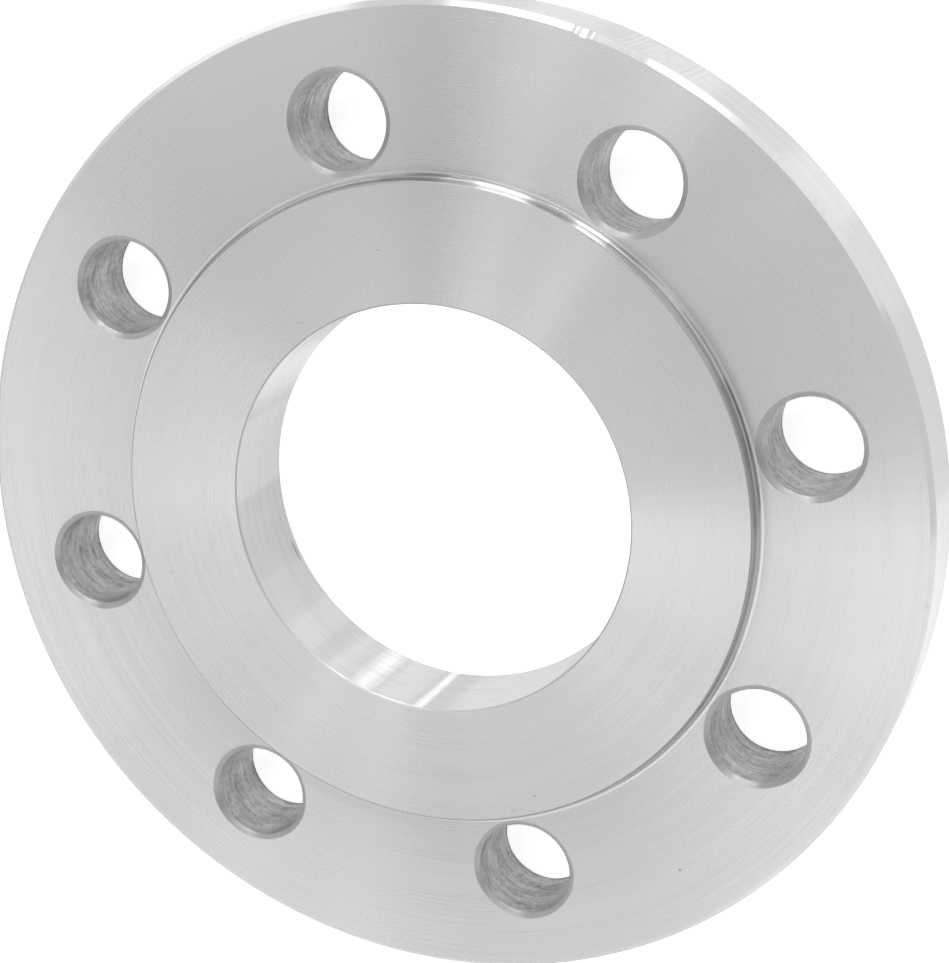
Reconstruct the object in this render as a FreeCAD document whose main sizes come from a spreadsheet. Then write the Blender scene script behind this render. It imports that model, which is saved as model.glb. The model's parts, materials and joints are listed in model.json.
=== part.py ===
import FreeCAD, Part

import math
import os

import Sketcher

from FreeCAD import Placement, Rotation, Vector

# Plate flange with a raised face, turned and drilled from one steel ring.
# It lies on its back face: origin at the centre of that face, +Z out of the raised face.
# Driving sizes in millimetres.
SIZES = (
    ("outer_diameter", 185.0, "outside of the rim"),
    ("bore_diameter", 77.5, "bore that the pipe end slips into"),
    ("overall_thickness", 20.0, "back face to raised face"),
    ("raised_face_diameter", 122.0, "gasket face"),
    ("raised_face_height", 3.0, "step from the bolting face up to the gasket face"),
    ("step_fillet_radius", 1.2, "nose radius left by the tool at the foot of the step"),
    ("face_edge_break", 0.3, "broken outer edge of the raised face"),
    ("rim_chamfer", 1.0, "chamfer of the front and back rim edges"),
    ("bore_edge_break", 0.3, "broken edges of the bore"),
    ("bolt_circle_diameter", 145.0, "circle through the bolt hole centres"),
    ("bolt_hole_diameter", 18.0, "clearance hole for an M16 bolt"),
    ("bolt_hole_count", 8, "holes straddle the X and Y axes"),
    ("hole_mouth_width", 1.1, "deburred mouths of the bolt holes, width on the face"),
    ("hole_mouth_depth", 0.6, "deburred mouths of the bolt holes, depth down the wall"),
)

FULL_TURN = 360.0
ORIGIN_POINT = (-1, 1)
X_AXIS = -1
START = 1
END = 2

doc = FreeCAD.newDocument("pipe_flange")


def make_sheet():
    """Spreadsheet of the driving sizes, one alias for each."""
    sheet = doc.addObject("Spreadsheet::Sheet", "params")
    for row, (alias, value, note) in enumerate(SIZES, start=1):
        sheet.set(f"A{row}", alias)
        sheet.set(f"B{row}", str(value))
        sheet.set(f"C{row}", note)
        sheet.setAlias(f"B{row}", alias)
    doc.recompute()
    return sheet


def origin_feature(body, role):
    """The body's own origin plane or axis with this role."""
    for feature in body.Origin.OriginFeatures:
        if feature.Role == role:
            return feature
    raise RuntimeError(f"no origin feature {role}")


def sketch_on(body, role, name):
    """Empty sketch on one of the body's own origin planes."""
    sketch = body.newObject("Sketcher::SketchObject", name)
    sketch.AttachmentSupport = [(origin_feature(body, role), "")]
    sketch.MapMode = "FlatFace"
    return sketch


def draw_outline(sketch, corners):
    """Closed outline of straight edges; upright and level edges are constrained so."""
    count = len(corners)
    for index, (x, y) in enumerate(corners):
        next_x, next_y = corners[(index + 1) % count]
        sketch.addGeometry(Part.LineSegment(Vector(x, y, 0), Vector(next_x, next_y, 0)), False)
        if x == next_x:
            sketch.addConstraint(Sketcher.Constraint("Vertical", index))
        if y == next_y:
            sketch.addConstraint(Sketcher.Constraint("Horizontal", index))
    for index in range(count):
        sketch.addConstraint(Sketcher.Constraint("Coincident", index, END, (index + 1) % count, START))


def set_distance(sketch, direction, first, second, value, formula):
    """Distance along X or Y between two sketch points, bound to the sheet."""
    kind = f"Distance{direction}"
    number = sketch.addConstraint(Sketcher.Constraint(kind, *first, *second, value))
    sketch.setExpression(f"Constraints[{number}]", formula)


def ring_edges(shape, radius, height):
    """Names of the circular edges about Z with this radius at this height."""
    names = []
    for number, edge in enumerate(shape.Edges, start=1):
        if not isinstance(edge.Curve, Part.Circle):
            continue
        centre = edge.Curve.Center
        on_axis = abs(centre.x) < 1e-6 and abs(centre.y) < 1e-6
        if on_axis and abs(edge.Curve.Radius - radius) < 1e-6 and abs(centre.z - height) < 1e-6:
            names.append(f"Edge{number}")
    if not names:
        raise RuntimeError(f"no ring edge of radius {radius} at height {height}")
    return names


def dress_edges(body, kind, name, rings, property_name, formula):
    """Fillet or chamfer on ring edges of the body's present tip."""
    base = body.Tip
    names = [edge for radius, height in rings for edge in ring_edges(base.Shape, radius, height)]
    feature = body.newObject(f"PartDesign::{kind}", name)
    feature.Base = (base, names)
    feature.setExpression(property_name, formula)
    doc.recompute()
    return feature


def turned_ring(body, sheet):
    """Half section of the turned ring, revolved about Z."""
    bore_r = sheet.bore_diameter / 2
    rim_r = sheet.outer_diameter / 2
    face_r = sheet.raised_face_diameter / 2
    top_z = sheet.overall_thickness
    plate_z = top_z - sheet.raised_face_height

    sketch = sketch_on(body, "XZ_Plane", "turned_section")
    draw_outline(sketch, (
        (bore_r, 0),
        (rim_r, 0),
        (rim_r, plate_z),
        (face_r, plate_z),
        (face_r, top_z),
        (bore_r, top_z),
    ))
    back, rim, front, step, gasket_face, bore = range(6)
    sketch.addConstraint(Sketcher.Constraint("PointOnObject", back, START, X_AXIS))
    set_distance(sketch, "X", ORIGIN_POINT, (bore, END), bore_r, "params.bore_diameter / 2")
    set_distance(sketch, "X", ORIGIN_POINT, (rim, START), rim_r, "params.outer_diameter / 2")
    set_distance(sketch, "X", ORIGIN_POINT, (step, END), face_r, "params.raised_face_diameter / 2")
    set_distance(sketch, "Y", ORIGIN_POINT, (front, END), plate_z,
                 "params.overall_thickness - params.raised_face_height")
    set_distance(sketch, "Y", ORIGIN_POINT, (gasket_face, END), top_z, "params.overall_thickness")
    doc.recompute()

    ring = body.newObject("PartDesign::Revolution", "turned_ring")
    ring.Profile = sketch
    ring.ReferenceAxis = (sketch, ["V_Axis"])
    ring.Angle = FULL_TURN
    doc.recompute()

    dress_edges(body, "Fillet", "step_fillet", [(face_r, plate_z)],
                "Radius", "params.step_fillet_radius")
    dress_edges(body, "Chamfer", "face_edge", [(face_r, top_z)],
                "Size", "params.face_edge_break")
    dress_edges(body, "Chamfer", "rim_edges", [(rim_r, 0), (rim_r, plate_z)],
                "Size", "params.rim_chamfer")
    dress_edges(body, "Chamfer", "bore_edges", [(bore_r, 0), (bore_r, top_z)],
                "Size", "params.bore_edge_break")


def bolt_holes(body, sheet):
    """One drilled hole with deburred mouths, half a pitch off the X axis, then the full circle."""
    axis_x = sheet.bolt_circle_diameter / 2
    wall_x = axis_x + sheet.bolt_hole_diameter / 2
    mouth_x = wall_x + sheet.hole_mouth_width
    lip = sheet.hole_mouth_depth
    plate_z = sheet.overall_thickness - sheet.raised_face_height
    top_z = sheet.overall_thickness + lip
    half_pitch = FULL_TURN / sheet.bolt_hole_count / 2

    sketch = sketch_on(body, "XZ_Plane", "hole_section")
    sketch.AttachmentOffset = Placement(Vector(0, 0, 0), Rotation(Vector(0, 1, 0), half_pitch))
    sketch.setExpression("AttachmentOffset.Rotation.Angle", "180 deg / params.bolt_hole_count")
    draw_outline(sketch, (
        (axis_x, -lip),
        (mouth_x, -lip),
        (mouth_x, 0),
        (wall_x, lip),
        (wall_x, plate_z - lip),
        (mouth_x, plate_z),
        (mouth_x, top_z),
        (axis_x, top_z),
    ))
    below, back_mouth, back_lip, wall, front_lip, front_mouth, above, axis = range(8)
    upper, lower = Vector(axis_x, top_z, 0), Vector(axis_x, -lip, 0)
    axis_line = sketch.addGeometry(Part.LineSegment(upper, lower), True)
    sketch.addConstraint(Sketcher.Constraint("Coincident", axis_line, START, axis, START))
    sketch.addConstraint(Sketcher.Constraint("Coincident", axis_line, END, axis, END))
    centre = (below, START)
    set_distance(sketch, "X", ORIGIN_POINT, centre, axis_x, "params.bolt_circle_diameter / 2")
    set_distance(sketch, "X", centre, (wall, START), wall_x - axis_x, "params.bolt_hole_diameter / 2")
    mouth_formula = "params.bolt_hole_diameter / 2 + params.hole_mouth_width"
    set_distance(sketch, "X", centre, (back_mouth, END), mouth_x - axis_x, mouth_formula)
    set_distance(sketch, "X", centre, (front_mouth, START), mouth_x - axis_x, mouth_formula)
    set_distance(sketch, "Y", centre, ORIGIN_POINT, lip, "params.hole_mouth_depth")
    sketch.addConstraint(Sketcher.Constraint("PointOnObject", back_mouth, END, X_AXIS))
    set_distance(sketch, "Y", ORIGIN_POINT, (back_lip, END), lip, "params.hole_mouth_depth")
    set_distance(sketch, "Y", (front_lip, START), (front_lip, END), lip, "params.hole_mouth_depth")
    set_distance(sketch, "Y", ORIGIN_POINT, (front_lip, END), plate_z,
                 "params.overall_thickness - params.raised_face_height")
    set_distance(sketch, "Y", ORIGIN_POINT, (above, END), top_z,
                 "params.overall_thickness + params.hole_mouth_depth")
    doc.recompute()

    drilled = body.newObject("PartDesign::Groove", "bolt_hole")
    drilled.Profile = sketch
    drilled.ReferenceAxis = (sketch, ["Axis0"])
    drilled.Angle = FULL_TURN
    doc.recompute()

    circle = body.newObject("PartDesign::PolarPattern", "bolt_circle")
    circle.Originals = [drilled]
    circle.Axis = (origin_feature(body, "Z_Axis"), [""])
    circle.Angle = FULL_TURN
    circle.setExpression("Occurrences", "params.bolt_hole_count")
    body.Tip = circle
    doc.recompute()


def check_cut(before, after, least, what):
    """Stop if a cut took less than it should have."""
    removed = before - after
    print(f"{what}: {removed:.1f} mm3 removed")
    if removed < least:
        raise RuntimeError(f"{what} removed only {removed:.1f} mm3")


def check_document():
    """Stop on any feature that failed, and on any body without a sound solid."""
    for item in doc.Objects:
        if "Invalid" in item.State or "Error" in item.State:
            raise RuntimeError(f"{item.Name} is {item.State}")
    for body in doc.findObjects("PartDesign::Body"):
        if body.Shape.isNull() or not body.Shape.isValid() or len(body.Shape.Solids) != 1:
            raise RuntimeError(f"{body.Name} is not one sound solid")


def export_bodies():
    """One STEP file for each body, named by its label."""
    os.makedirs("parts", exist_ok=True)
    for body in doc.findObjects("PartDesign::Body"):
        body.Shape.exportStep(f"parts/{body.Label}.step")
        box = body.Shape.BoundBox
        print(f"{body.Label}: volume {body.Shape.Volume:.1f} mm3, faces {len(body.Shape.Faces)}")
        print(f"{body.Label}: box {box.XMin:.3f} {box.YMin:.3f} {box.ZMin:.3f} "
              f"to {box.XMax:.3f} {box.YMax:.3f} {box.ZMax:.3f}")


sheet = make_sheet()

flange = doc.addObject("PartDesign::Body", "flange")
flange.Label = "flange"
flange.Placement = Placement(Vector(0, 0, 0), Rotation())
turned_ring(flange, sheet)
undrilled = flange.Shape.Volume
bolt_holes(flange, sheet)

plate = sheet.overall_thickness - sheet.raised_face_height
one_hole = math.pi * (sheet.bolt_hole_diameter / 2) ** 2 * plate
check_cut(undrilled, flange.Shape.Volume, one_hole * sheet.bolt_hole_count, "bolt holes")
check_document()
export_bodies()
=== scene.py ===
import json
import math

import bmesh
import bpy
from mathutils import Matrix, Vector, noise
from mathutils.geometry import delaunay_2d_cdt


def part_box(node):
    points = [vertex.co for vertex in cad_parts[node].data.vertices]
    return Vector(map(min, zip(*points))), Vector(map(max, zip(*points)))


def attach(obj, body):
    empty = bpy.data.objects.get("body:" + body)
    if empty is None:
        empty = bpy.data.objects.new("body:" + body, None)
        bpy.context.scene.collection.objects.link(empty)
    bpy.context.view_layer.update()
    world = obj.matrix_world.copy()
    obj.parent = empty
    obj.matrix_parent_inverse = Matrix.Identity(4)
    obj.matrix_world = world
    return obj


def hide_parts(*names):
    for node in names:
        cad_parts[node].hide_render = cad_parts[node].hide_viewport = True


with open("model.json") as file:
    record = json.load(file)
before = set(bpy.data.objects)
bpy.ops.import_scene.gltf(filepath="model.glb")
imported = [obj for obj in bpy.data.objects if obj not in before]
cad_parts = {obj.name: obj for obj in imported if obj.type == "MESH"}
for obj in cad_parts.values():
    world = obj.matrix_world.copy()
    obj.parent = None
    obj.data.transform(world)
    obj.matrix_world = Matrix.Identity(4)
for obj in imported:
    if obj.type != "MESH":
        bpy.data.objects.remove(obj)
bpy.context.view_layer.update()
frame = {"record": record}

MM = 0.001

# The flange's sizes: from the frame where it holds them, the rest as the flange is drawn.
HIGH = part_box("flange")[1]
MOUNTS = {mount["name"]: mount["dims"] for mount in frame["record"]["mounts"] if "dims" in mount}
RIM_R = HIGH.x
TOP_Z = HIGH.z
BORE_R = MOUNTS["bore"]["r_mm"] * MM
HOLE_CIRCLE_R = MOUNTS["bolt_circle"]["pcd_mm"] * MM / 2
HOLE_R = MOUNTS["bolt_circle"]["hole_r_mm"] * MM
HOLE_COUNT = MOUNTS["bolt_circle"]["count"]
FACE_R = 61.0 * MM
STEP = 3.0 * MM
STEP_FILLET = 1.2 * MM
FACE_BREAK = 0.3 * MM
RIM_CHAMFER = 1.0 * MM
BORE_BREAK = 0.3 * MM
MOUTH_WIDTH = 1.1 * MM
MOUTH_DEPTH = 0.6 * MM
PLATE_Z = TOP_Z - STEP

# Fineness of the skin: steps round a circle, and rows of faces across a form.
RING_STEPS = 720
FINE_STEPS = 3600
HOLE_STEPS = 120
WALL_RINGS = 28
FILLET_STEPS = 12
CHAMFER_ROWS = 3
MOUTH_ROWS = 5
SIDE_ROWS = 10
PIT_STEPS = 12

# Wear and tool marks that the photograph shows. A nick is an azimuth and a width in degrees and a depth in
# millimetres. The struck and the chattered stretch of the rim run between two azimuths, and the pitch of the
# chatter is in degrees. A pit is a radius in millimetres, an azimuth and the height of its face.
NICKS = (
    (2.9, 1.0, 0.07),
    (5.9, 0.8, 0.03),
    (47.9, 1.4, 0.06),
    (49.3, 1.2, 0.07),
    (55.6, 0.8, 0.03),
    (80.5, 2.4, 0.40),
)
STRUCK = (72.8, 80.4)
STRUCK_DEPTH = 0.05 * MM
CHATTER = (66.0, 79.5)
CHATTER_PITCH = 0.74
CHATTER_DEPTH = 0.08 * MM
PITS = (
    (49.0, 109.1, TOP_Z),
    (41.6, 134.6, TOP_Z),
    (57.4, 299.7, TOP_Z),
    (59.5, 294.8, TOP_Z),
    (81.5, 314.8, PLATE_Z),
)
PIT_R = 0.30 * MM
PIT_DEPTH = 0.14 * MM
DRILL_RING_DEPTH = 0.05 * MM
# Dark mark low in the bore: azimuth, height, half its length, half its height.
SMUDGE = (214.0, 1.8 * MM, 2.8 * MM, 0.6 * MM)
# Pitch of the lathe's feed marks, in millimetres.
FEED_MARK = 0.62

# Camera, as the photograph was taken: a long lens above the face, rolled.
CAMERA_AZIMUTH = 48.53
CAMERA_ELEVATION = 64.59
CAMERA_ROLL = 127.52
CAMERA_DISTANCE = 464.37 * MM
CAMERA_AIM = Vector((1.79, 0.79, 0.0)) * MM
CAMERA_LENS = 90.95

# The studio's light, hoop by hoop round what the flat face mirrors to the camera. Its numbers are fitted to the
# photograph's tones: first by a least-squares solver, then changed edit by edit from measured differences.
# A hoop is what the steel's facets show from this slope on. Round it, by the facet's bearing in degrees, are
# the places where the light changes, each with its level from there on.
HOOPS = (
    (0.00, ((34, 0.6), (54, 0.75), (80, 0.35), (93, 0.8), (110, 0.55), (174, 0.5), (224, 0.8), (284, 0.5),
            (340, 0.3))),
    (0.10, ((14, 0.98), (34, 0.62), (46, 0.28), (56, 0.5), (66, 0.77), (82, 0.3), (94, 0.46), (110, 0.66),
            (154, 1.2), (174, 1.4), (188, 1.9), (224, 1.35), (238, 1.4), (250, 1.22), (314, 1.72))),
    (0.25, ((12, 0.2), (34, 0.5), (46, 1.0), (56, 0.4), (67, 0.85), (73, 0.35), (82, 0.7), (91.5, 0.3),
            (104, 0.8), (136, 0.7), (224, 0.8), (314, 0.5), (334, 0.25), (347, 0.8))),
    (0.45, ((12, 0.3), (22, 0.15), (36, 0.35), (50, 0.75), (60, 0.35), (65, 0.85), (70, 0.5), (73, 0.8),
            (82, 1.2), (93, 0.25), (104, 0.5), (134, 0.25), (224, 0.6), (254, 0.8), (284, 0.5))),
    (0.80, ((9, 0.65), (24, 0.8), (36, 1.15), (44, 1.25), (56, 1.15), (62, 1.8), (74, 1.0), (81, 1.8),
            (98, 0.8), (109, 1.4), (134, 1.2), (290, 1.2), (326, 1.0))),
    (1.30, ((24, 0.6), (74, 0.7), (84, 0.9), (340, 1.0))),
)
# Small bright lamps among them: from slope, to slope, from bearing, to bearing, level.
LAMPS = (
    (0.44, 0.51, 73.5, 80.5, 2.0),
    (0.45, 0.50, 75.5, 78.5, 4.0),
    (0.36, 0.41, 94.0, 96.5, 5.0),
    (0.66, 1.55, 66.8, 72.5, 3.6),
    (0.14, 0.26, 82.0, 91.5, 0.9),
    (0.66, 1.55, 82.0, 91.0, 3.4),
)
# A hoop eases into the next over this share of its slope either side, and a change over this many degrees.
HOOP_EASE = 0.12
CHANGE_EASE = 0.5
# A lamp's edges ease over this much slope and this many degrees.
LAMP_SLOPE_EASE = 0.01
LAMP_BEARING_EASE = 0.4
# Level that white stands for in the hoops' colour ramps.
BRIGHTEST = 8.0

# Half the floor's width in metres, and its glow where the steel mirrors it; the camera sees a glow of 1.
FLOOR_HALF = 3.0
FLOOR_GLOW = 0.41

# Rings of the turned steel that have a finish or a grey of their own, as spans of the radius in millimetres:
# the face and the plate, the step, the fillet with its painted shade, the line of painted highlight where it
# meets the plate, and the broken edges with painted shade.
FACE_RING = (39.0, 61.0)
PLATE_RING = (62.0, 92.0)
STEP_RING = (60.65, 62.3)
ROOT_RING = (61.03, 62.3)
FOOT_HIGHLIGHT_RING = (62.06, 62.42)
STEP_EDGE_RING = (60.65, 60.99)
BORE_EDGE_RING = (38.8, 39.15)

# Greys of the turned steel: dull and bright, then where it differs. One side of each rim flute gets a painted
# highlight, the step's fillet painted shade, the line where the fillet meets the plate a painted highlight, the
# broken edges painted shade, and the bore a dark mark.
DULL_GREY = 0.68
BRIGHT_GREY = 0.82
FLUTE_HIGHLIGHT_GREY = 0.97
ROOT_SHADE_LOW_GREY = 0.63
ROOT_SHADE_STEEP_GREY = 0.47
FOOT_HIGHLIGHT_GREY = 0.88
BORE_EDGE_SHADE_GREY = 0.62
STEP_EDGE_SHADE_GREY = 0.46
SMUDGE_GREY = 0.45

# Roughness of the turned steel.
FLAT_ROUGH = 0.27
WALL_ROUGH = 0.11
ROOT_ROUGH = 0.16
EDGE_ROUGH = 0.55

# How steep the finest turning marks are on the flats and the walls, what the step adds to that, and how steep
# they are in its fillet; then how steep each coarser kind is.
FLAT_SLOPE = 0.006
WALL_SLOPE = 0.03
STEP_SLOPE = 0.10
ROOT_SLOPE = 0.03
GROOVE_SLOPE = 0.003
FEED_SLOPE = 0.004
RAY_SLOPE = 0.004

# Painted shade: the holes' walls are painted darker at the bottom, between these heights.
HOLE_FOOT_SHADE = (0.6 * MM, 1.6 * MM)

TURNED, DRILLED, DEBURRED = 0, 1, 2
ZONES = {
    "back": TURNED,
    "rim_back": TURNED,
    "rim_side": TURNED,
    "rim_front": TURNED,
    "plate": TURNED,
    "step": TURNED,
    "face_edge": TURNED,
    "face": TURNED,
    "bore_front": TURNED,
    "bore": TURNED,
    "bore_back": TURNED,
    "mouth": DEBURRED,
    "hole": DRILLED,
    "pit": DRILLED,
}


class Skin:
    """The flange's skin: points, and faces that each lie in a named zone."""

    def __init__(self):
        self.points = []
        self.faces = []
        self.zones = []
        self.index = {}

    def point(self, x, y, z):
        """Number of the point at this place; points closer than 0.1 micron are one."""
        key = (round(x * 1e7), round(y * 1e7), round(z * 1e7))
        if key not in self.index:
            self.index[key] = len(self.points)
            self.points.append(Vector((x, y, z)))
        return self.index[key]

    def polar(self, r, azimuth, z, centre=(0.0, 0.0)):
        a = math.radians(azimuth)
        return self.point(centre[0] + r * math.cos(a), centre[1] + r * math.sin(a), z)

    def band(self, rows, zone):
        """Faces between neighbouring rows, each row a closed ring of as many points."""
        for low, high in zip(rows, rows[1:]):
            for n in range(len(low)):
                corners = [low[n - 1], low[n], high[n], high[n - 1]]
                corners = [c for k, c in enumerate(corners) if c != corners[k - 1]]
                self.faces.append(corners)
                self.zones.append(zone)

    def flat(self, outline, gaps, zone):
        """Flat face inside an outline and outside the gaps, all of them rings of points."""
        rings = [outline] + gaps
        numbers = [n for ring in rings for n in ring]
        places = [self.points[n].xy for n in numbers]
        loops = []
        start = 0
        for ring in rings:
            loops.append(list(range(start, start + len(ring))))
            start += len(ring)
        inside_constraints = 1
        result = delaunay_2d_cdt(places, [], loops, inside_constraints, 1e-9, True)
        triangles, owners = result[2], result[5]
        for triangle, owner in zip(triangles, owners):
            if owner == [0]:
                self.faces.append([numbers[n] for n in triangle])
                self.zones.append(zone)

    def cone_end(self, ring, tip, zone):
        for n in range(len(ring)):
            self.faces.append([ring[n - 1], ring[n], tip])
            self.zones.append(zone)


def within(azimuth, stretch):
    return stretch[0] <= azimuth <= stretch[1]


def fade(azimuth, stretch, ease):
    """1 inside a stretch of the rim, easing to 0 at its ends."""
    from_end = min(azimuth - stretch[0], stretch[1] - azimuth)
    t = max(0.0, min(1.0, from_end / ease))
    return t * t * (3 - 2 * t)


def rim_azimuths():
    """Azimuths of the rim's points, closer together where the rim is worn."""
    coarse = FINE_STEPS // RING_STEPS
    margin = 1.0
    worn = [(place - margin, place + margin) for place, _, _ in NICKS] + [STRUCK, CHATTER]
    azimuths = []
    for k in range(FINE_STEPS):
        azimuth = 360 * k / FINE_STEPS
        if k % coarse == 0 or any(within(azimuth, stretch) for stretch in worn):
            azimuths.append(azimuth)
    return azimuths


def rim_bite(azimuth):
    """How far the front rim's edge is knocked back here."""
    bite = 0.0
    for place, width, depth in NICKS:
        off = abs(azimuth - place) / (width / 2)
        if off < 1:
            bite = max(bite, depth * MM * (0.5 + 0.5 * math.cos(math.pi * off)))
    struck = fade(azimuth, STRUCK, 1.2)
    if struck > 0:
        slow = noise.noise(Vector((azimuth * 0.6, 3.7, 0.0)))
        quick = noise.noise(Vector((azimuth * 1.7, 9.1, 0.0)))
        bite = max(bite, struck * STRUCK_DEPTH * max(0.0, 0.5 + 0.7 * (slow + 0.2 * quick)))
    return bite


def rim_chatter(azimuth):
    """Depth of the flutes that the tool left on the rim's side."""
    beat = azimuth / CHATTER_PITCH + 0.4 * noise.noise(Vector((azimuth * 0.5, 8.3, 0.0)))
    uneven = 0.7 + 0.5 * noise.noise(Vector((azimuth * 0.9, 2.9, 0.0)))
    wave = 0.5 - 0.5 * math.cos(2 * math.pi * beat)
    return CHATTER_DEPTH * wave * uneven * fade(azimuth, CHATTER, 3.0)


def ring(skin, r, z, azimuths):
    return [skin.polar(r, azimuth, z) for azimuth in azimuths]


def make_rim(skin):
    """Rim with both chamfers; returns its rings on the back and on the plate."""
    azimuths = rim_azimuths()
    back = ring(skin, RIM_R - RIM_CHAMFER, 0.0, azimuths)
    side = []
    for row in range(SIDE_ROWS + 1):
        t = row / SIDE_ROWS
        points = []
        for azimuth in azimuths:
            top = PLATE_Z - RIM_CHAMFER - rim_bite(azimuth)
            z = RIM_CHAMFER + (top - RIM_CHAMFER) * t
            depth = rim_chatter(azimuth) * min(1.0, 6 * t * (1 - t))
            points.append(skin.polar(RIM_R - depth, azimuth, z))
        side.append(points)
    front = [side[-1]]
    for row in range(1, CHAMFER_ROWS + 1):
        t = row / CHAMFER_ROWS
        points = []
        for azimuth in azimuths:
            bite = rim_bite(azimuth)
            high_r = RIM_R - RIM_CHAMFER - bite
            low_z = PLATE_Z - RIM_CHAMFER - bite
            sag = 0.25 * bite * math.sin(math.pi * t)
            r = RIM_R + (high_r - RIM_R) * t - sag
            z = low_z + (PLATE_Z - low_z) * t - sag
            points.append(skin.polar(r, azimuth, z))
        front.append(points)
    skin.band([back, side[0]], "rim_back")
    skin.band(side, "rim_side")
    skin.band(front, "rim_front")
    return back, front[-1]


def make_step(skin, azimuths):
    """Wall of the raised face with its root fillet; returns its rings on the plate and on the face."""
    rows = []
    for k in range(FILLET_STEPS + 1):
        a = math.pi / 2 * k / FILLET_STEPS
        r = FACE_R + STEP_FILLET * (1 - math.sin(a))
        z = PLATE_Z + STEP_FILLET * (1 - math.cos(a))
        rows.append(ring(skin, r, z, azimuths))
    rows.append(ring(skin, FACE_R, TOP_Z - FACE_BREAK, azimuths))
    skin.band(rows, "step")
    edge = ring(skin, FACE_R - FACE_BREAK, TOP_Z, azimuths)
    skin.band([rows[-1], edge], "face_edge")
    return rows[0], edge


def make_bore(skin, azimuths):
    """Bore with both broken edges; returns its rings on the face and on the back."""
    face = ring(skin, BORE_R + BORE_BREAK, TOP_Z, azimuths)
    top = ring(skin, BORE_R, TOP_Z - BORE_BREAK, azimuths)
    bottom = ring(skin, BORE_R, BORE_BREAK, azimuths)
    back = ring(skin, BORE_R + BORE_BREAK, 0.0, azimuths)
    skin.band([face, top], "bore_front")
    skin.band([top, bottom], "bore")
    skin.band([bottom, back], "bore_back")
    return face, back


def make_hole(skin, number):
    """One bolt hole with drill rings and broken mouths; returns its rings on the back and on the plate."""
    middle = math.radians((number + 0.5) * 360 / HOLE_COUNT)
    centre = (HOLE_CIRCLE_R * math.cos(middle), HOLE_CIRCLE_R * math.sin(middle))
    azimuths = [360 * k / HOLE_STEPS for k in range(HOLE_STEPS)]

    def mouth(side, z, inward):
        """Rings of one mouth, from the wall out to the flat: a cone, a little rounded."""
        rings = []
        for row in range(MOUTH_ROWS + 1):
            t = row / MOUTH_ROWS
            turn = t * math.pi / 2
            out = 0.85 * t + 0.15 * (1 - math.cos(turn))
            down = 0.85 * (1 - t) + 0.15 * (1 - math.sin(turn))
            points = []
            for azimuth in azimuths:
                a = math.radians(azimuth)
                place = Vector((1.3 * math.cos(a), 1.3 * math.sin(a), 5.1 * number + 2.3 * side))
                uneven = noise.noise(place)
                width = MOUTH_WIDTH * (0.92 + 0.16 * uneven)
                depth = MOUTH_DEPTH * (1.0 + 0.3 * uneven)
                points.append(skin.polar(HOLE_R + width * out, azimuth, z + inward * depth * down, centre))
            rings.append(points)
        return rings

    back = mouth(0, 0.0, 1)
    front = mouth(1, PLATE_Z, -1)
    wall_low, wall_high = back[0], front[0]
    rows = [wall_low]
    for level in range(1, WALL_RINGS):
        t = level / WALL_RINGS
        points = []
        for k, azimuth in enumerate(azimuths):
            a = math.radians(azimuth)
            low, high = skin.points[wall_low[k]], skin.points[wall_high[k]]
            swirl = Vector((0.6 * math.cos(a), 0.6 * math.sin(a), 0.0))
            cut = 0.5 + 0.5 * noise.noise(swirl + Vector((0.0, 7.7 * number, level * 0.73)))
            r = HOLE_R + DRILL_RING_DEPTH * cut
            points.append(skin.polar(r, azimuth, low.z + (high.z - low.z) * t, centre))
        rows.append(points)
    rows.append(wall_high)
    skin.band(back, "mouth")
    skin.band(rows, "hole")
    skin.band(front, "mouth")
    return back[-1], front[-1]


def make_pit(skin, r, azimuth, z):
    """Small pit left in a turned face; returns its mouth."""
    a = math.radians(azimuth)
    centre = (r * MM * math.cos(a), r * MM * math.sin(a))
    turns = [360 * k / PIT_STEPS for k in range(PIT_STEPS)]
    mouth = [skin.polar(PIT_R, turn, z, centre) for turn in turns]
    floor = [skin.polar(PIT_R * 0.5, turn, z - PIT_DEPTH * 0.8, centre) for turn in turns]
    tip = skin.point(centre[0], centre[1], z - PIT_DEPTH)
    skin.band([mouth, floor], "pit")
    skin.cone_end(floor, tip, "pit")
    return mouth


def make_skin():
    skin = Skin()
    azimuths = [360 * k / RING_STEPS for k in range(RING_STEPS)]
    rim_back, rim_plate = make_rim(skin)
    step_plate, step_face = make_step(skin, azimuths)
    bore_face, bore_back = make_bore(skin, azimuths)
    holes = [make_hole(skin, number) for number in range(HOLE_COUNT)]
    pits = {TOP_Z: [], PLATE_Z: []}
    for r, azimuth, z in PITS:
        pits[z].append(make_pit(skin, r, azimuth, z))
    skin.flat(rim_back, [bore_back] + [back for back, _ in holes], "back")
    skin.flat(rim_plate, [step_plate] + [plate for _, plate in holes] + pits[PLATE_Z], "plate")
    skin.flat(step_face, [bore_face] + pits[TOP_Z], "face")
    return skin


def make_mesh(skin):
    """Blender mesh of the skin: smooth in each zone, sharp between zones, facing outwards."""
    names = list(ZONES)
    shape = bmesh.new()
    zone_of = shape.faces.layers.int.new("zone")
    points = [shape.verts.new(place) for place in skin.points]
    for corners, zone in zip(skin.faces, skin.zones):
        face = shape.faces.new([points[c] for c in corners])
        face[zone_of] = names.index(zone)
        face.material_index = ZONES[zone]
        face.smooth = True
    bmesh.ops.recalc_face_normals(shape, faces=shape.faces[:])
    for edge in shape.edges:
        edge.smooth = len({face[zone_of] for face in edge.link_faces}) == 1
    shape.faces.layers.int.remove(zone_of)
    mesh = bpy.data.meshes.new("flange_body")
    shape.to_mesh(mesh)
    shape.free()
    return mesh


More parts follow.
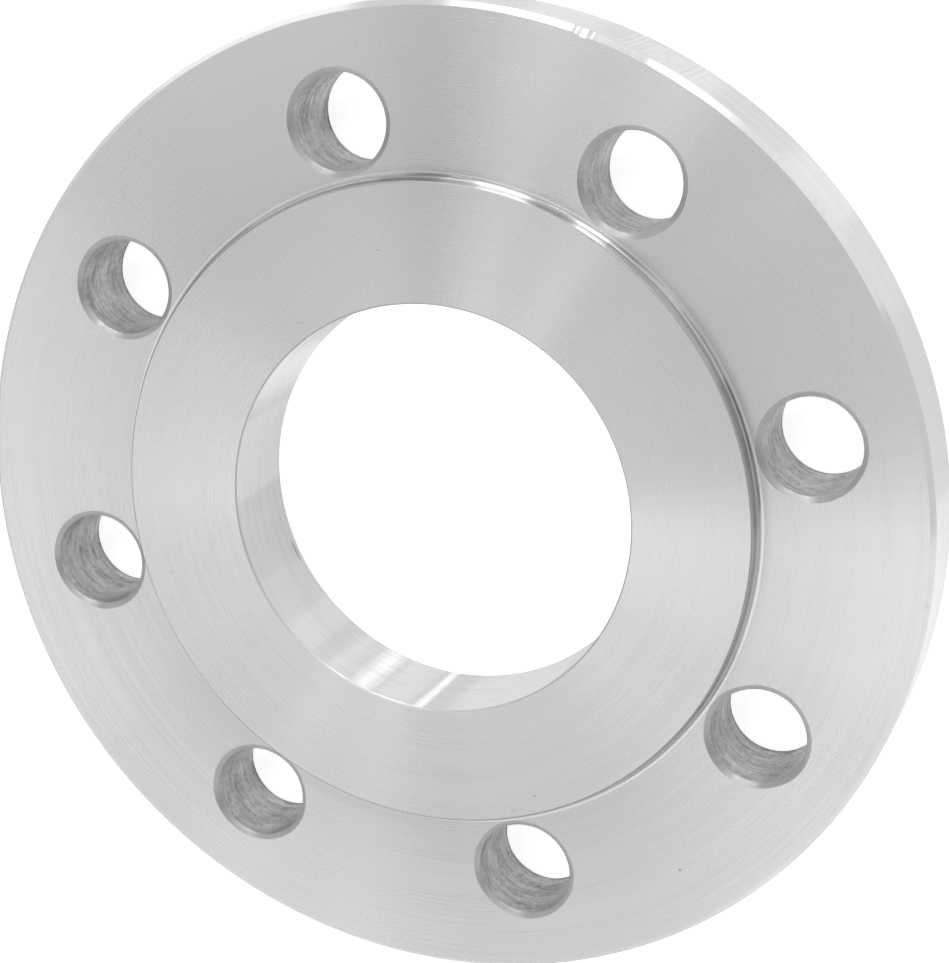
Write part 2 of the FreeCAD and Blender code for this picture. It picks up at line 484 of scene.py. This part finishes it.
class Graph:
    """Short calls that build one node tree."""

    def __init__(self, tree):
        self.tree = tree

    def node(self, kind, **settings):
        node = self.tree.nodes.new(kind)
        for name, value in settings.items():
            setattr(node, name, value)
        return node

    def feed(self, socket, value):
        if isinstance(value, bpy.types.NodeSocket):
            self.tree.links.new(value, socket)
        else:
            socket.default_value = value

    def math(self, operation, first, second=0.0):
        node = self.node("ShaderNodeMath", operation=operation)
        self.feed(node.inputs[0], first)
        self.feed(node.inputs[1], second)
        return node.outputs["Value"]

    def vector(self, operation, first, second=(0.0, 0.0, 0.0)):
        node = self.node("ShaderNodeVectorMath", operation=operation)
        self.feed(node.inputs[0], first)
        self.feed(node.inputs[1], second)
        return node.outputs["Value" if operation in ("LENGTH", "DOT_PRODUCT") else "Vector"]

    def scaled(self, vector, scale):
        node = self.node("ShaderNodeVectorMath", operation="SCALE")
        self.feed(node.inputs[0], vector)
        self.feed(node.inputs["Scale"], scale)
        return node.outputs["Vector"]

    def parts(self, vector):
        node = self.node("ShaderNodeSeparateXYZ")
        self.feed(node.inputs[0], vector)
        return node.outputs[0], node.outputs[1], node.outputs[2]

    def joined(self, x, y, z):
        node = self.node("ShaderNodeCombineXYZ")
        for socket, value in zip(node.inputs, (x, y, z)):
            self.feed(socket, value)
        return node.outputs[0]

    def noise(self, vector, detail=2.0, roughness=0.5):
        """Noise about 0, mostly within -1 to 1."""
        node = self.node("ShaderNodeTexNoise")
        self.feed(node.inputs["Vector"], vector)
        node.inputs["Scale"].default_value = 1.0
        node.inputs["Detail"].default_value = detail
        node.inputs["Roughness"].default_value = roughness
        centred = self.math("SUBTRACT", node.outputs["Fac"], 0.5)
        return self.math("MULTIPLY", centred, 4.0)

    def span(self, value, low, high, new_low, new_high, smooth=False):
        node = self.node("ShaderNodeMapRange")
        if smooth:
            node.interpolation_type = "SMOOTHSTEP"
        for socket, number in zip(node.inputs, (value, low, high, new_low, new_high)):
            self.feed(socket, number)
        return node.outputs["Result"]

    def between(self, value, low, high, ease):
        """1 between two values, easing to 0 outside them."""
        rise = self.span(value, low - ease, low + ease, 0.0, 1.0, smooth=True)
        fall = self.span(value, high - ease, high + ease, 1.0, 0.0, smooth=True)
        return self.math("MULTIPLY", rise, fall)

    def mixed(self, factor, first, second):
        node = self.node("ShaderNodeMix", data_type="FLOAT")
        self.feed(node.inputs["Factor"], factor)
        self.feed(node.inputs["A"], first)
        self.feed(node.inputs["B"], second)
        return node.outputs["Result"]

    def blend(self, factor, first, second):
        node = self.node("ShaderNodeMix", data_type="RGBA")
        self.feed(node.inputs["Factor"], factor)
        self.feed(node.inputs["A"], first)
        self.feed(node.inputs["B"], second)
        return node.outputs["Result"]


def grey(level):
    return (level, level, level, 1.0)


def new_material(name):
    material = bpy.data.materials.new(name)
    material.use_nodes = True
    shader = material.node_tree.nodes["Principled BSDF"]
    return material, Graph(material.node_tree), shader


def grooved(graph, normal, along, across_slope, along_slope):
    """Normal tipped across and along the grooves by two small slopes."""
    across = graph.vector("CROSS_PRODUCT", along, normal)
    tipped = graph.vector("ADD", normal, graph.scaled(across, across_slope))
    tipped = graph.vector("ADD", tipped, graph.scaled(along, along_slope))
    return graph.vector("NORMALIZE", tipped)


def smudge(graph, place):
    """1 in the small dark mark low in the bore, 0 elsewhere."""
    azimuth, height, half_length, half_height = SMUDGE
    a = math.radians(azimuth)
    off = graph.vector("SUBTRACT", place, (BORE_R * math.cos(a), BORE_R * math.sin(a), height))
    run = graph.vector("DOT_PRODUCT", off, (-math.sin(a) / half_length, math.cos(a) / half_length, 0.0))
    rise = graph.vector("DOT_PRODUCT", off, (0.0, 0.0, 1.0 / half_height))
    depth = graph.vector("DOT_PRODUCT", off, (math.cos(a) / half_length, math.sin(a) / half_length, 0.0))
    return graph.span(graph.vector("LENGTH", graph.joined(run, rise, depth)), 0.5, 1.0, 0.8, 0.0, smooth=True)


def turned_steel():
    """Bright steel with the fine rings of a lathe tool round the flange's axis.

    upright is 0 on the flat faces and 1 on the walls. root is the step's fillet, painted darker as shade, foot
    the painted highlight line where it meets the plate, edge the dull broken edges, painted darker as shade,
    and flank a painted highlight on one side of each flute in the rim.
    """
    material, graph, shader = new_material("turned_steel")
    shader.inputs["Metallic"].default_value = 1.0
    shader.inputs["Anisotropic Rotation"].default_value = 0.25
    place = graph.node("ShaderNodeTexCoord").outputs["Object"]
    x, y, z = graph.parts(place)
    flat = graph.joined(x, y, 0.0)
    radius = graph.math("MULTIPLY", graph.vector("LENGTH", flat), 1000.0)
    height = graph.math("MULTIPLY", z, -700.0)
    across = graph.math("ADD", radius, height)
    spoke = graph.vector("NORMALIZE", flat)
    spoke_x, spoke_y, _ = graph.parts(spoke)
    along = graph.vector("CROSS_PRODUCT", (0.0, 0.0, 1.0), spoke)

    def rings(per_mm, swirl, detail):
        lane = graph.math("MULTIPLY", across, per_mm)
        round_x = graph.math("MULTIPLY", spoke_x, swirl)
        round_y = graph.math("MULTIPLY", spoke_y, swirl)
        return graph.noise(graph.joined(lane, round_x, round_y), detail)

    fine = rings(per_mm=9.0, swirl=3.0, detail=1.0)
    grooves = rings(per_mm=2.2, swirl=2.0, detail=2.0)
    bands = rings(per_mm=0.35, swirl=1.2, detail=2.0)
    rays = rings(per_mm=0.02, swirl=60.0, detail=3.0)
    turns = graph.math("ADD", graph.math("MULTIPLY", across, 2 * math.pi / FEED_MARK), bands)
    feed_marks = graph.math("SINE", turns)
    geometry = graph.node("ShaderNodeNewGeometry")
    _, _, lift = graph.parts(geometry.outputs["True Normal"])
    upright = graph.math("SUBTRACT", 1.0, graph.math("ABSOLUTE", lift))
    in_step = graph.between(radius, *STEP_RING, 0.05)
    root = graph.between(radius, *ROOT_RING, 0.02)
    root = graph.math("MULTIPLY", root, graph.between(upright, 0.01, 0.95, 0.005))
    foot_highlight = graph.between(radius, *FOOT_HIGHLIGHT_RING, 0.05)
    on_step = graph.between(radius, *STEP_EDGE_RING, 0.02)
    edge = graph.math("MAXIMUM", on_step, graph.between(radius, *BORE_EDGE_RING, 0.03))
    edge = graph.math("MULTIPLY", edge, graph.between(upright, 0.17, 0.42, 0.06))
    fine_slope = graph.span(upright, 0.0, 0.4, FLAT_SLOPE, WALL_SLOPE)
    fine_slope = graph.math("ADD", fine_slope, graph.math("MULTIPLY", in_step, STEP_SLOPE))
    fine_slope = graph.mixed(root, fine_slope, ROOT_SLOPE)
    slope = graph.math("MULTIPLY", fine, fine_slope)
    slope = graph.math("ADD", slope, graph.math("MULTIPLY", grooves, GROOVE_SLOPE))
    slope = graph.math("ADD", slope, graph.math("MULTIPLY", feed_marks, FEED_SLOPE))
    tipped = grooved(graph, geometry.outputs["Normal"], along, slope, graph.math("MULTIPLY", rays, RAY_SLOPE))
    tone = graph.math("ADD", graph.math("MULTIPLY", bands, 0.5), graph.math("MULTIPLY", grooves, 0.5))
    # Grey by radius: the face and the plate are darker towards the step and lighter towards the bore and the
    # rim.
    face_radial_tone = graph.span(radius, *FACE_RING, 0.20, -0.10)
    plate_radial_tone = graph.span(radius, *PLATE_RING, -0.30, 0.30)
    on_plate = graph.math("GREATER_THAN", radius, 61.5)
    radial_tone = graph.mixed(on_plate, face_radial_tone, plate_radial_tone)
    shade = graph.math("ADD", graph.math("MULTIPLY", tone, 0.08), 0.5)
    shade = graph.math("ADD", shade, radial_tone)
    ringed = graph.span(upright, 0.5, 1.0, 0.0, 0.3)
    ringed = graph.math("MULTIPLY", graph.math("ADD", fine, grooves), ringed)
    shade = graph.math("ADD", shade, ringed)
    colour = graph.blend(shade, grey(DULL_GREY), grey(BRIGHT_GREY))
    # Painted highlight: the side of each rim flute that leans one way is painted near white, as if it caught
    # the light.
    lean = graph.vector("DOT_PRODUCT", geometry.outputs["Normal"], along)
    flute_highlight = graph.span(lean, 0.02, 0.12, 0.0, 1.0)
    flute_highlight = graph.math("MULTIPLY", flute_highlight, graph.span(upright, 0.6, 0.9, 0.0, 1.0))
    colour = graph.blend(flute_highlight, colour, grey(FLUTE_HIGHLIGHT_GREY))
    # Painted shade: the step's fillet is painted darker, most where it is steep.
    steep = graph.span(upright, 0.10, 0.25, 0.0, 1.0)
    colour = graph.blend(root, colour, graph.blend(steep, grey(ROOT_SHADE_LOW_GREY), grey(ROOT_SHADE_STEEP_GREY)))
    # Painted highlight: a light line painted where the fillet meets the plate.
    colour = graph.blend(foot_highlight, colour, grey(FOOT_HIGHLIGHT_GREY))
    # Painted shade: the broken edges are painted darker, the step's edge more than the bore's; their dull
    # finish is in the roughness.
    colour = graph.blend(edge, colour, graph.blend(on_step, grey(BORE_EDGE_SHADE_GREY), grey(STEP_EDGE_SHADE_GREY)))
    colour = graph.blend(smudge(graph, place), colour, grey(SMUDGE_GREY))
    graph.feed(shader.inputs["Base Color"], colour)
    uneven = graph.math("MULTIPLY", tone, -0.03)
    finish = graph.span(upright, 0.0, 1.0, FLAT_ROUGH, WALL_ROUGH)
    finish = graph.mixed(root, finish, ROOT_ROUGH)
    finish = graph.mixed(edge, finish, EDGE_ROUGH)
    graph.feed(shader.inputs["Anisotropic"], graph.mixed(edge, 1.0, 0.0))
    graph.feed(shader.inputs["Roughness"], graph.math("ADD", finish, uneven))
    graph.feed(shader.inputs["Normal"], tipped)
    tangent = graph.node("ShaderNodeTangent", direction_type="RADIAL", axis="Z")
    graph.feed(shader.inputs["Tangent"], tangent.outputs["Tangent"])
    return material


def hole_steel(name, dark, light, rough, fine_slope, score_slope):
    """Steel with the uneven rings of a tool turned round each hole's own axis.

    dark and light bound its grey, rough is its middle roughness, and the slopes say how steep the rings are.
    """
    material, graph, shader = new_material(name)
    shader.inputs["Metallic"].default_value = 1.0
    shader.inputs["Anisotropic"].default_value = 0.8
    shader.inputs["Anisotropic Rotation"].default_value = 0.25
    place = graph.node("ShaderNodeTexCoord").outputs["Object"]
    x, y, z = graph.parts(place)
    geometry = graph.node("ShaderNodeNewGeometry")
    normal = geometry.outputs["Normal"]
    nx, ny, _ = graph.parts(geometry.outputs["True Normal"])
    along = graph.vector("NORMALIZE", graph.vector("CROSS_PRODUCT", (0.0, 0.0, 1.0), normal))
    hole = graph.math("ADD", graph.math("MULTIPLY", x, 60.0), graph.math("MULTIPLY", y, 97.0))

    def rings(per_mm, swirl, detail):
        lane = graph.math("MULTIPLY", z, per_mm * 1000.0)
        lane = graph.math("ADD", lane, hole)
        round_x = graph.math("MULTIPLY", nx, swirl)
        round_y = graph.math("MULTIPLY", ny, swirl)
        return graph.noise(graph.joined(lane, round_x, round_y), detail)

    fine = rings(per_mm=5.0, swirl=3.0, detail=2.0)
    scores = rings(per_mm=1.4, swirl=1.6, detail=3.0)
    stains = rings(per_mm=0.25, swirl=1.5, detail=3.0)
    mottle = graph.noise(graph.scaled(place, 1100.0), 3.0)
    slope = graph.math("MULTIPLY", fine, fine_slope)
    slope = graph.math("ADD", slope, graph.math("MULTIPLY", scores, score_slope))
    slope = graph.math("ADD", slope, graph.math("MULTIPLY", mottle, 0.5 * score_slope))
    tipped = grooved(graph, normal, along, slope, graph.math("MULTIPLY", mottle, 0.3 * score_slope))
    tone = graph.math("ADD", graph.math("MULTIPLY", stains, 0.4), graph.math("MULTIPLY", scores, 0.5))
    tone = graph.math("ADD", tone, graph.math("MULTIPLY", mottle, 0.4))
    # Painted shade: darker towards the bottom of each hole's wall.
    tone = graph.math("ADD", tone, graph.span(z, *HOLE_FOOT_SHADE, -0.8, 0.0))
    shade = graph.span(tone, -1.0, 1.0, 0.0, 1.0)
    colour = graph.blend(shade, grey(dark), grey(light))
    graph.feed(shader.inputs["Base Color"], colour)
    graph.feed(shader.inputs["Roughness"], graph.span(tone, -1.0, 1.0, rough + 0.06, rough - 0.06))
    graph.feed(shader.inputs["Normal"], tipped)
    graph.feed(shader.inputs["Tangent"], along)
    return material


def make_flange():
    body = bpy.data.objects.new("flange_body", make_mesh(make_skin()))
    bpy.context.scene.collection.objects.link(body)
    steels = (
        turned_steel(),
        hole_steel("drilled_steel", dark=0.34, light=0.98, rough=0.34, fine_slope=0.12, score_slope=0.20),
        hole_steel("deburred_steel", dark=0.50, light=0.66, rough=0.46, fine_slope=0.05, score_slope=0.04),
    )
    for steel in steels:
        body.data.materials.append(steel)
    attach(body, "root")
    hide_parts("flange")
    return body


def make_floor():
    """Pale glazed floor that reads as the photograph's white, with the flange's own faint shadow."""
    corners = [(x * FLOOR_HALF, y * FLOOR_HALF, 0) for x, y in ((-1, -1), (1, -1), (1, 1), (-1, 1))]
    mesh = bpy.data.meshes.new("floor")
    mesh.from_pydata(corners, [], [(0, 1, 2, 3)])
    floor = bpy.data.objects.new("floor", mesh)
    bpy.context.scene.collection.objects.link(floor)
    material, graph, shader = new_material("floor_white")
    shader.inputs["Base Color"].default_value = grey(0.80)
    shader.inputs["Roughness"].default_value = 0.9
    shader.inputs["Specular IOR Level"].default_value = 0.0
    shader.inputs["Emission Color"].default_value = grey(1.0)
    shader.inputs["Coat Weight"].default_value = 1.0
    shader.inputs["Coat IOR"].default_value = 2.8
    shader.inputs["Coat Roughness"].default_value = 0.05
    rays = graph.node("ShaderNodeLightPath").outputs
    mirrored = graph.math("MAXIMUM", rays["Is Glossy Ray"], rays["Is Transmission Ray"])
    glow = graph.math("MULTIPLY", mirrored, FLOOR_GLOW)
    glow = graph.math("MAXIMUM", glow, rays["Is Camera Ray"])
    graph.feed(shader.inputs["Emission Strength"], glow)
    mesh.materials.append(material)
    return floor


def eye_direction():
    """Unit vector from the flange towards the camera."""
    azimuth = math.radians(CAMERA_AZIMUTH)
    elevation = math.radians(CAMERA_ELEVATION)
    out = math.cos(elevation)
    return Vector((out * math.cos(azimuth), out * math.sin(azimuth), math.sin(elevation)))


def hoop_light(graph, bearing, changes):
    """Level of one hoop by bearing, easing at each change."""
    ramp = graph.node("ShaderNodeValToRGB")
    graph.feed(ramp.inputs["Fac"], graph.math("DIVIDE", bearing, 360.0))
    before = changes[-1][1]
    stops = [(0.0, before), (360.0, before)]
    for start, level in changes:
        stops += [(start - CHANGE_EASE, before), (start + CHANGE_EASE, level)]
        before = level
    elements = ramp.color_ramp.elements
    for number, (place, level) in enumerate(stops):
        element = elements[number] if number < 2 else elements.new(place / 360)
        element.color = grey(level / BRIGHTEST)
    return graph.math("MULTIPLY", ramp.outputs["Color"], BRIGHTEST)


def make_world():
    """Soft studio round the flange: white where the camera looks past it, hoops of light elsewhere."""
    world = bpy.data.worlds.new("studio")
    world.use_nodes = True
    graph = Graph(world.node_tree)
    background = world.node_tree.nodes["Background"]
    towards = graph.node("ShaderNodeTexCoord").outputs["Generated"]
    x, y, z = graph.parts(graph.vector("ADD", towards, tuple(eye_direction())))
    upright = graph.math("MAXIMUM", z, 0.001)
    slope = graph.math("DIVIDE", graph.vector("LENGTH", graph.joined(x, y, 0.0)), upright)
    turn = graph.math("DEGREES", graph.math("ARCTAN2", y, x))
    bearing = graph.math("MODULO", graph.math("ADD", turn, 360.0), 360.0)
    light = None
    for start, changes in HOOPS:
        level = hoop_light(graph, bearing, changes)
        if light is None:
            light = level
        else:
            share = graph.span(slope, start * (1 - HOOP_EASE), start * (1 + HOOP_EASE), 0.0, 1.0, smooth=True)
            light = graph.mixed(share, light, level)
    for near, far, start, stop, level in LAMPS:
        inside = graph.between(slope, near, far, LAMP_SLOPE_EASE)
        inside = graph.math("MULTIPLY", inside, graph.between(bearing, start, stop, LAMP_BEARING_EASE))
        light = graph.mixed(inside, light, level)
    camera_ray = graph.node("ShaderNodeLightPath").outputs["Is Camera Ray"]
    graph.feed(background.inputs["Strength"], graph.mixed(camera_ray, light, 1.0))
    background.inputs["Color"].default_value = grey(1.0)
    bpy.context.scene.world = world


def make_camera():
    back = eye_direction()
    data = bpy.data.cameras.new("camera")
    data.lens = CAMERA_LENS
    data.clip_start = 0.01
    camera = bpy.data.objects.new("camera", data)
    bpy.context.scene.collection.objects.link(camera)
    upright = back.to_track_quat("Z", "Y").to_matrix()
    roll = Matrix.Rotation(math.radians(-CAMERA_ROLL), 3, "Z")
    camera.rotation_mode = "QUATERNION"
    camera.rotation_quaternion = (upright @ roll).to_quaternion()
    camera.location = CAMERA_AIM + back * CAMERA_DISTANCE
    bpy.context.scene.camera = camera


body = make_flange()
floor = make_floor()
make_world()
make_camera()
bpy.context.scene.view_settings.view_transform = "Standard"
